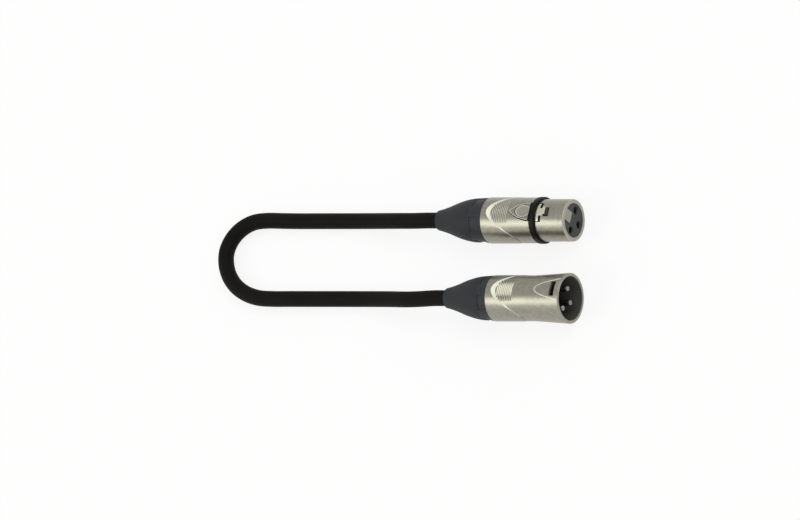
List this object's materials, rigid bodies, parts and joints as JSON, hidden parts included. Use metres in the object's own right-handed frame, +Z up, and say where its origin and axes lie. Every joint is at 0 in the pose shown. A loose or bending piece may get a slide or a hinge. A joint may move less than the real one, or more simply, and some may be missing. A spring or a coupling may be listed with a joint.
{
  "type": "microphone cable",
  "caption": "Round black microphone lead in one U bend between a socket connector with a press latch and a plug connector, both with satin metal shells.",
  "frame": {"origin": "on the resting surface, midway along and midway between the two connectors", "axes": "+X along both connectors' axes, towards their mating ends; +Z up, towards the latch side of both shells"},
  "size_m": [0.165, 0.0504, 0.019],
  "materials": {
    "nickel": "satin",
    "soft_black": "matte",
    "cable_black": "matte",
    "slate": "matte",
    "slate_hard": "matte",
    "insert_black": "matte",
    "contact": "satin",
    "steel": "satin",
    "nylon": "matte",
    "red_wire": "matte",
    "white_wire": "matte",
    "copper": "satin"
  },
  "bodies": {
    "lead": {"female_housing": "nickel", "female_ring": "soft_black", "latch_pin": "steel", "latch_spring": "steel", "female_insert": "insert_black", "female_contact_1": "contact", "female_contact_2": "contact", "female_contact_3": "contact", "female_ground_clip": "steel", "female_bushing": "slate_hard", "female_chuck": "nylon", "female_gland": "slate", "female_cable_end": "cable_black", "female_wire_2": "red_wire", "female_wire_3": "white_wire", "female_shield_tail": "copper", "male_housing": "nickel", "male_insert": "insert_black", "male_pin_1": "contact", "male_pin_2": "contact", "male_pin_3": "contact", "male_ground_clip": "steel", "male_bushing": "slate_hard", "male_chuck": "nylon", "male_gland": "slate", "male_cable_end": "cable_black", "male_wire_2": "red_wire", "male_wire_3": "white_wire", "male_shield_tail": "copper", "cable": "cable_black"},
    "latch_lever": {"latch": "nickel"}
  },
  "joints": [
    {"name": "latch_press", "type": "hinge", "parent": "lead", "child": "latch_lever", "pos_m": [0.0035, 0.01645, 0.0161], "axis": [0, 1, 0], "range_deg": [0, 5.5], "stiffness_Nm_per_rad": 0.0115, "springref_deg": -24.06, "deforming": ["latch_spring"]}
  ]
}
